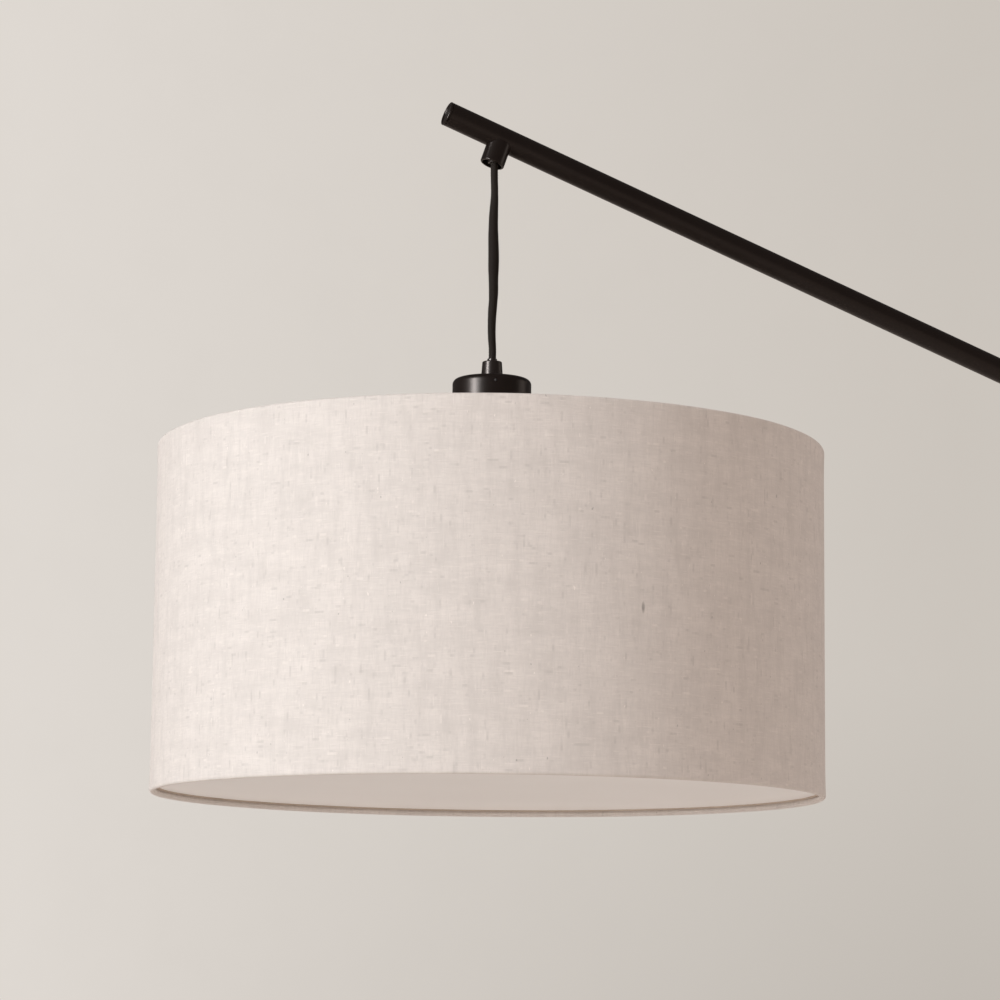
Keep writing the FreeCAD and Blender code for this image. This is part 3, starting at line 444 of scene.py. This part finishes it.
# %% Grub screw
SCREW_HEIGHT = 316 * MM
SCREW_BEARING = math.radians(-104.4)
CUP_RADIUS = 30.4 * MM
SOCKET_RADIUS_MM = 0.72
SCREW_OUTLINE_MM = [(0.0, -3.0), (1.25, -3.0), (1.25, -0.3), (1.15, -0.2), (SOCKET_RADIUS_MM, -0.2),
                    (SOCKET_RADIUS_MM, -1.1), (0.0, -1.1)]
SIDE_ANGLE = math.radians(60)
PLATE_SHARE = 0.94
PLATE_DEPTH = 0.08 * MM
PLATE_HEIGHT = -1.05 * MM
WELL_INSIDE = 0.1 * MM
WELL_OUTSIDE = 0.8 * MM


def face_outwards(obj):
    """Turns a piece modelled along +Z to point out of the cup at the screw's place."""
    out = Vector((math.cos(SCREW_BEARING), math.sin(SCREW_BEARING), 0))
    place = rim_centre + out * CUP_RADIUS + Vector((0, 0, SCREW_HEIGHT))
    obj.matrix_world = Matrix.Translation(place) @ out.to_track_quat("Z", "Y").to_matrix().to_4x4()
    select_only(obj)
    bpy.ops.object.transform_apply(location=True, rotation=True, scale=True)


def grub_screw():
    """A round screw whose well has six flats."""
    outline = [(radius * MM, height * MM) for radius, height in SCREW_OUTLINE_MM]
    screw = lathe("grub_screw", outline, Vector(), around=48)
    for vertex in screw.data.vertices:
        if WELL_INSIDE < vertex.co.to_2d().length < WELL_OUTSIDE:
            bearing = math.atan2(vertex.co.y, vertex.co.x) - SIDE_ANGLE / 2
            off_middle = bearing % SIDE_ANGLE - SIDE_ANGLE / 2
            squeeze = math.cos(SIDE_ANGLE / 2) / math.cos(off_middle)
            vertex.co.x *= squeeze
            vertex.co.y *= squeeze
    face_outwards(screw)
    bpy.ops.object.shade_smooth_by_angle(angle=math.radians(30))
    new_piece(screw, "shade", "cup_screw", "black_screw")
    print("grub screw of", len(screw.data.polygons), "faces")


def socket_floor():
    """The bright plate at the bottom of the well."""
    bpy.ops.object.select_all(action="DESELECT")
    radius = SOCKET_RADIUS_MM * PLATE_SHARE * MM
    bpy.ops.mesh.primitive_cylinder_add(vertices=6, radius=radius, depth=PLATE_DEPTH,
                                        location=(0, 0, PLATE_HEIGHT))
    plate = bpy.context.object
    plate.name = "socket_floor"
    face_outwards(plate)
    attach(plate, "shade")
    new_pieces.append((plate, "bright_steel"))
    print("socket floor of", len(plate.data.polygons), "faces")


grub_screw()
socket_floor()

# %% [markdown]
# ## Finishes
# Every finish is worked out from coordinates, with no pictures. Sums and products of sockets are
# written as ordinary Python by a small class, so a recipe reads like the arithmetic it is.

# %% Shader arithmetic
class Wire:
    """An output socket; arithmetic on wires adds Math nodes to the recipe they belong to."""

    def __init__(self, recipe, socket):
        self.recipe = recipe
        self.socket = socket

    def math(self, operation, *values, clamp=False):
        inputs = dict(enumerate((self, *values)))
        settings = {"operation": operation, "use_clamp": clamp}
        return self.recipe.node("ShaderNodeMath", settings, inputs)

    def __add__(self, other):
        return self.math("ADD", other)

    def __radd__(self, other):
        return self.math("ADD", other)

    def __sub__(self, other):
        return self.math("SUBTRACT", other)

    def __rsub__(self, other):
        return self.recipe.node("ShaderNodeMath", {"operation": "SUBTRACT"}, {0: other, 1: self})

    def __mul__(self, other):
        return self.math("MULTIPLY", other)

    def __rmul__(self, other):
        return self.math("MULTIPLY", other)

    def __truediv__(self, other):
        return self.math("DIVIDE", other)

    def above(self, level, width):
        """0 under level, rising to 1 over a width."""
        return ((self - level) / width).math("ADD", 0, clamp=True)

    def split(self):
        """The three parts of a vector."""
        first = self.recipe.node("ShaderNodeSeparateXYZ", {}, {0: self})
        node = first.socket.node
        return [Wire(self.recipe, node.outputs[axis]) for axis in "XYZ"]


class Recipe:
    """Nodes of one finish or of the surround."""

    def __init__(self, tree):
        self.tree = tree

    def node(self, kind, settings=None, sockets=None, output=0):
        """Adds a node, sets it, then fills its sockets with values or wires."""
        node = self.tree.nodes.new(kind)
        for name, value in (settings or {}).items():
            setattr(node, name, value)
        for key, value in (sockets or {}).items():
            self.fill(node.inputs[key], value)
        return None if output is None else Wire(self, node.outputs[output])

    def fill(self, socket, value):
        if isinstance(value, Wire):
            self.tree.links.new(value.socket, socket)
        else:
            socket.default_value = value

    def coordinates(self, kind="Object"):
        return self.node("ShaderNodeTexCoord", output=kind)

    def vector(self, x, y, z=0.0):
        return self.node("ShaderNodeCombineXYZ", {}, {0: x, 1: y, 2: z})

    def stretched(self, vector, scale):
        """The same coordinates, stretched by a factor on each axis."""
        sockets = {"Vector": vector, "Scale": scale}
        return self.node("ShaderNodeMapping", {"vector_type": "POINT"}, sockets)

    def noise(self, vector, scale, detail=2.0, rough=0.5, distortion=0.0):
        sockets = {"Vector": vector, "Scale": scale, "Detail": detail, "Roughness": rough,
                   "Distortion": distortion}
        return self.node("ShaderNodeTexNoise", {}, sockets)

    def mix(self, share, first, second):
        """From the first colour to the second as share goes from 0 to 1."""
        sockets = {0: share, 6: first, 7: second}
        return self.node("ShaderNodeMix", {"data_type": "RGBA"}, sockets, output=2)

    def bump(self, height, strength, distance):
        sockets = {"Strength": strength, "Distance": distance, "Height": height}
        return self.node("ShaderNodeBump", {}, sockets)


class Finish(Recipe):
    """A material with one Principled shader, and the nodes that feed it."""

    def __init__(self, name, color, roughness, constants=None):
        self.material = bpy.data.materials.new(name)
        self.material.use_nodes = True
        super().__init__(self.material.node_tree)
        self.shader = next(node for node in self.tree.nodes if node.type == "BSDF_PRINCIPLED")
        self.material.diffuse_color = (*color, 1)
        self.set({"Base Color": (*color, 1), "Roughness": roughness, **(constants or {})})

    def set(self, sockets):
        for name, value in sockets.items():
            self.fill(self.shader.inputs[name], value)


def shade_of(color, factor):
    """A colour made lighter or darker, with full alpha."""
    return (*(min(1.0, part * factor) for part in color), 1)


# %% [markdown]
# ## Metal finishes
# Powder coat is a thin plastic skin with a fine orange peel and a soft sheen. Bare fixings are
# drawn or turned, so fine lines are stretched along one axis. A warm tint on the gloss of the dark
# finishes keeps their highlights from turning blue.

# %% Coats and metals
WARM = (1.0, 0.92, 0.87, 1)


def powder_coat(name, color, roughness, shine):
    finish = Finish(name, color, roughness, {"Specular IOR Level": shine, "Specular Tint": WARM})
    place = finish.coordinates()
    cloud = finish.noise(place, 22, detail=3)
    peel = finish.noise(place, 1100, detail=2)
    dust = finish.noise(place, 2600, detail=1).above(0.70, 0.06)
    finish.set({
        "Base Color": finish.mix(cloud, shade_of(color, 0.88), shade_of(color, 1.12)),
        "Roughness": roughness - 0.05 + cloud * 0.1 + dust * 0.12,
        "Normal": finish.bump(peel, 0.16, 0.0002),
    })
    return finish.material


def bare_metal(name, color, roughness, lines=(900, 900, 40)):
    finish = Finish(name, color, roughness, {"Metallic": 1.0})
    place = finish.coordinates()
    grain = finish.noise(finish.stretched(place, lines), 1, detail=3)
    stain = finish.noise(place, 60, detail=3)
    finish.set({
        "Base Color": finish.mix(stain, shade_of(color, 0.78), shade_of(color, 1.1)),
        "Roughness": roughness - 0.08 + grain * 0.16,
        "Normal": finish.bump(grain, 0.12, 0.0001),
    })
    return finish.material


def moulded(name, color, roughness, shine=0.5):
    finish = Finish(name, color, roughness, {"Specular IOR Level": shine, "Specular Tint": WARM})
    place = finish.coordinates()
    grain = finish.noise(place, 1500, detail=2)
    flow = finish.noise(place, 35, detail=2)
    finish.set({
        "Base Color": finish.mix(flow, shade_of(color, 0.9), shade_of(color, 1.1)),
        "Roughness": roughness - 0.05 + grain * 0.1,
        "Normal": finish.bump(grain, 0.1, 0.0001),
    })
    return finish.material


def cast_surface(name, color):
    finish = Finish(name, color, 0.75, {"Metallic": 0.4})
    sand = finish.noise(finish.coordinates(), 420, detail=5, rough=0.7)
    finish.set({
        "Base Color": finish.mix(sand, shade_of(color, 0.6), shade_of(color, 1.3)),
        "Normal": finish.bump(sand, 0.7, 0.0006),
    })
    return finish.material


def felt(name, color):
    finish = Finish(name, color, 0.95, {"Sheen Weight": 0.4})
    fibre = finish.noise(finish.coordinates(), 900, detail=4, distortion=1.5)
    finish.set({
        "Base Color": finish.mix(fibre, shade_of(color, 0.6), shade_of(color, 1.6)),
        "Normal": finish.bump(fibre, 0.8, 0.0006),
    })
    return finish.material


# %% [markdown]
# ## Textile finishes
# Linen is woven from yarns that are thick in places, the slubs. Each yarn gets its own run of
# noise, picked by the yarn's number, so light and dark dashes lie exactly along the yarns both
# ways; a plain noise would smear across them. One dark knot is placed on the cloth. The
# braid is darker and has a dull sheen.

# %% Linen and braid
LINEN = (0.715, 0.665, 0.629)
KNOT_PLACE = (-0.375, 0.1181)
KNOT_WIDTH = 1.5 * MM
KNOT_HEIGHT = 4.5 * MM
WEFT_PITCH = 0.85 * MM
WARP_PITCH = 0.80 * MM


def yarn_noise(finish, along, across, pitch, stretch):
    """How thick each yarn is along its length, from 0 to 1."""
    number = (across / pitch).math("FLOOR")
    return finish.noise(finish.vector(along * stretch, number * 7.31), 1, detail=3)


def linen(name, color):
    finish = Finish(name, color, 0.92, {"Sheen Weight": 0.15, "Sheen Roughness": 0.5,
                                        "Specular IOR Level": 0.3})
    cloth = finish.node("ShaderNodeUVMap", {"uv_map": "cloth"})
    around, height, _ = cloth.split()
    weft = yarn_noise(finish, around, height, WEFT_PITCH, 95)
    warp = yarn_noise(finish, height, around, WARP_PITCH, 90)
    wide_weft = yarn_noise(finish, around, height, WEFT_PITCH * 2, 75)
    wide_warp = yarn_noise(finish, height, around, WARP_PITCH * 2, 65)
    ridge = (around * (math.pi / WARP_PITCH)).math("SINE").math("ABSOLUTE")
    furrow = (height * (math.pi / WEFT_PITCH)).math("SINE").math("ABSOLUTE")
    lying = finish.noise(finish.stretched(cloth, (28, 95, 1)), 1, detail=4, rough=0.6)
    standing = finish.noise(finish.stretched(cloth, (110, 22, 1)), 1, detail=4, rough=0.6)
    fleck = finish.noise(finish.stretched(cloth, (330, 150, 1)), 1, detail=2)
    tone = finish.mix(lying.above(0.25, 0.5), shade_of(color, 0.92), shade_of(color, 1.07))
    tone = finish.mix((1 - standing).above(0.45, 0.3) * 0.65, tone, shade_of(color, 0.84))
    tone = finish.mix((1 - weft).above(0.48, 0.2) * 0.35, tone, shade_of(color, 0.86))
    tone = finish.mix((1 - warp).above(0.48, 0.2) * 0.35, tone, shade_of(color, 0.86))
    tone = finish.mix(weft.above(0.58, 0.14) * 0.4, tone, shade_of(color, 1.12))
    tone = finish.mix(warp.above(0.62, 0.12) * 0.35, tone, shade_of(color, 1.14))
    tone = finish.mix((1 - wide_weft).above(0.63, 0.07) * 0.5, tone, shade_of(color, 0.76))
    tone = finish.mix((1 - wide_warp).above(0.62, 0.08) * 0.5, tone, shade_of(color, 0.76))
    tone = finish.mix(wide_weft.above(0.66, 0.06) * 0.4, tone, shade_of(color, 1.2))
    tone = finish.mix(wide_warp.above(0.68, 0.06) * 0.35, tone, shade_of(color, 1.18))
    tone = finish.mix((1 - fleck).above(0.735, 0.03) * 0.6, tone, shade_of(color, 0.45))
    tone = finish.mix(fleck.above(0.73, 0.03) * 0.6, tone, shade_of(color, 1.3))
    beside = (around - KNOT_PLACE[0]) * (1 / KNOT_WIDTH)
    above = (height - KNOT_PLACE[1]) * (1 / KNOT_HEIGHT)
    knot = (1 - beside * beside - above * above).above(0, 0.8)
    tone = finish.mix(knot * (0.35 + fleck * 0.9), tone, shade_of(color, 0.42))
    relief = ridge * 0.12 + furrow * 0.12 + weft * 0.5 + warp * 0.5
    relief = relief + wide_weft.above(0.62, 0.1) * 0.3
    finish.set({"Base Color": tone, "Normal": finish.bump(relief, 0.55, 0.0004)})
    return finish.material


def braid(name, color):
    finish = Finish(name, color, 0.6, {"Sheen Weight": 0.04, "Sheen Roughness": 0.4,
                                       "Specular IOR Level": 0.16, "Specular Tint": WARM})
    fibre = finish.noise(finish.stretched(finish.coordinates(), (2600, 2600, 900)), 1, detail=3)
    finish.set({
        "Base Color": finish.mix(fibre, shade_of(color, 0.5), shade_of(color, 1.9)),
        "Roughness": 0.45 + fibre * 0.25,
        "Normal": finish.bump(fibre, 0.5, 0.0002),
    })
    return finish.material


# %% [markdown]
# ## Plastics, glass and the diffuser
# The diffuser is opal acrylic: it lets light through but hides the bulb, and unlit it looks like a
# flat pale plate. The lining is styrene, a little glossier inside.

# %% Pale plastics
def opal(name, color, roughness):
    finish = Finish(name, color, roughness, {"Coat Weight": 0.1})
    place = finish.coordinates()
    cloud = finish.noise(place, 9, detail=2)
    speck = finish.noise(place, 1500, detail=1)
    finish.set({
        "Base Color": finish.mix(cloud, shade_of(color, 0.98), shade_of(color, 1.02)),
        "Roughness": roughness - 0.04 + cloud * 0.08,
        "Normal": finish.bump(speck, 0.05, 0.0001),
    })
    return finish.material


# %% Giving every part its finish
FINISHES = {
    "felt": felt("black_felt", (0.03, 0.028, 0.027)),
    "cast_iron": cast_surface("cast_iron", (0.09, 0.085, 0.08)),
    "black_coat": powder_coat("black_powder_coat", (0.0122, 0.0083, 0.0070), 0.3, 0.2),
    "black_plastic": moulded("black_moulding", (0.0150, 0.0106, 0.0090), 0.32, 0.4),
    "zinc_steel": bare_metal("zinc_steel", (0.62, 0.62, 0.63), 0.34),
    "bright_steel": bare_metal("bright_steel", (0.72, 0.71, 0.70), 0.2),
    "black_screw": bare_metal("black_oxide", (0.05, 0.05, 0.052), 0.4),
    "lead_sheath": moulded("lead_sheath", (0.62, 0.61, 0.58), 0.45),
    "bronze": bare_metal("bronze", (0.50, 0.33, 0.17), 0.4),
    "nylon": moulded("nylon", (0.70, 0.68, 0.62), 0.5),
    "brass": bare_metal("brass", (0.78, 0.57, 0.27), 0.3),
    "black_braid": braid("black_braid", (0.0105, 0.0068, 0.0044)),
    "opal_glass": opal("opal_glass", (0.85, 0.84, 0.80), 0.25),
    "cap_aluminium": bare_metal("cap_aluminium", (0.80, 0.80, 0.80), 0.3),
    "white_coat": powder_coat("white_coat", (0.74, 0.72, 0.67), 0.35, 0.5),
    "white_styrene": moulded("white_styrene", (0.80, 0.77, 0.72), 0.4),
    # The diffuser's edging is tinted taupe to stand in for the shadow line in the crevice between the
    # diffuser and the rolled hem: painted shade.
    "taupe_vinyl": moulded("taupe_vinyl", (0.53, 0.445, 0.375), 0.6, 0.3),
    "oatmeal_linen": linen("oatmeal_linen", LINEN),
    "opal_acrylic": opal("opal_acrylic", (0.97, 0.965, 0.955), 0.4),
}


def dress(obj, finish):
    """Gives an object one finish."""
    obj.data.materials.clear()
    obj.data.materials.append(FINISHES[finish])


for entry in frame["record"]["subparts"]:
    dress(nodes[entry["node"]], entry["material_slot"])
for piece, finish in new_pieces:
    dress(piece, finish)
print(len(FINISHES), "finishes on", len(nodes), "parts and", len(new_pieces), "new pieces")

# %% [markdown]
# ## Floor and light
# A pale floor and three area lights. The broad one, from the left, rounds the drum. The two strips
# light nothing by themselves: they are kept out of diffuse light and only give the dark metal its
# long highlights, as reflector boards do. The surround is seen as a wall that darkens to the right,
# lights the room evenly, and is mirrored as a dim room.

# %% Studio
WALL_LEFT = (0.735, 0.690, 0.643, 1)
WALL_RIGHT = (0.600, 0.557, 0.508, 1)
AMBIENT = (0.64, 0.56, 0.515, 1)
MIRRORED = (0.12, 0.11, 0.105, 1)
FLOOR_SIZE = 30


def studio_floor():
    bpy.ops.object.select_all(action="DESELECT")
    bpy.ops.mesh.primitive_plane_add(size=FLOOR_SIZE, location=(0, 0, 0))
    floor = bpy.context.object
    floor.name = "studio_floor"
    finish = Finish("pale_floor", (0.86, 0.82, 0.78), 0.8)
    cloud = finish.noise(finish.coordinates(), 0.7, detail=2)
    finish.set({"Base Color": finish.mix(cloud, (0.85, 0.81, 0.77, 1), (0.87, 0.83, 0.79, 1))})
    floor.data.materials.append(finish.material)


def surround():
    """An even light, seen as a wall that darkens to the right and mirrored as a dim room."""
    world = bpy.data.worlds.new("surround")
    world.use_nodes = True
    world.node_tree.nodes.clear()
    recipe = Recipe(world.node_tree)
    aim = recipe.coordinates("Generated")
    x, y, z = aim.split()
    across = x * math.cos(EYE_BEARING) - y * math.sin(EYE_BEARING)
    # The wall's darkening to the right, and further towards its lower right, is painted shade.
    share = (across * 3.6 + 0.5).math("ADD", 0, clamp=True)
    low = (0.10 - z).above(0, 0.14) * share
    trowel = recipe.noise(aim, 45, detail=4, rough=0.65)
    wall = recipe.mix(share, WALL_LEFT, WALL_RIGHT)
    wall = recipe.mix(low * 0.55, wall, shade_of(WALL_RIGHT[:3], 0.72))
    wall = recipe.mix(trowel.above(0.45, 0.4) * 0.05, wall, shade_of(WALL_RIGHT[:3], 0.8))
    seen = recipe.node("ShaderNodeBackground", {}, {"Color": wall})
    glossy = recipe.node("ShaderNodeLightPath", output="Is Glossy Ray")
    room = recipe.mix(glossy, AMBIENT, MIRRORED)
    ambient = recipe.node("ShaderNodeBackground", {}, {"Color": room})
    eye = recipe.node("ShaderNodeLightPath", output="Is Camera Ray")
    mixed = recipe.node("ShaderNodeMixShader", {}, {0: eye, 1: ambient, 2: seen})
    recipe.node("ShaderNodeOutputWorld", {}, {"Surface": mixed}, output=None)
    bpy.context.scene.world = world


def soft_light(name, bearing, distance, height, size, power, color, mirrored_only=False):
    """An oblong area light at a bearing in degrees and a distance from the shade, aimed at it."""
    data = bpy.data.lights.new(name, "AREA")
    data.shape = "RECTANGLE"
    data.size, data.size_y = size
    data.energy = power
    data.color = color
    light = bpy.data.objects.new(name, data)
    light.visible_diffuse = light.visible_transmission = not mirrored_only
    angle = math.radians(bearing)
    place = shade_centre + Vector((math.cos(angle) * distance, math.sin(angle) * distance, height))
    aim = (shade_centre - place).to_track_quat("-Z", "Y").to_matrix().to_4x4()
    light.matrix_world = Matrix.Translation(place) @ aim
    bpy.context.scene.collection.objects.link(light)


studio_floor()
surround()
soft_light("window", bearing=203, distance=2.6, height=0.4, size=(0.9, 1.3), power=42.5,
           color=(0.89, 0.96, 1.0))
soft_light("strip", bearing=198, distance=2.2, height=0.3, size=(0.55, 1.5), power=112,
           color=(1.0, 0.97, 0.97), mirrored_only=True)
soft_light("far strip", bearing=350, distance=2.4, height=0.2, size=(1.1, 1.5), power=8,
           color=(1.0, 0.88, 0.80), mirrored_only=True)
bpy.context.scene.view_settings.view_transform = "Standard"
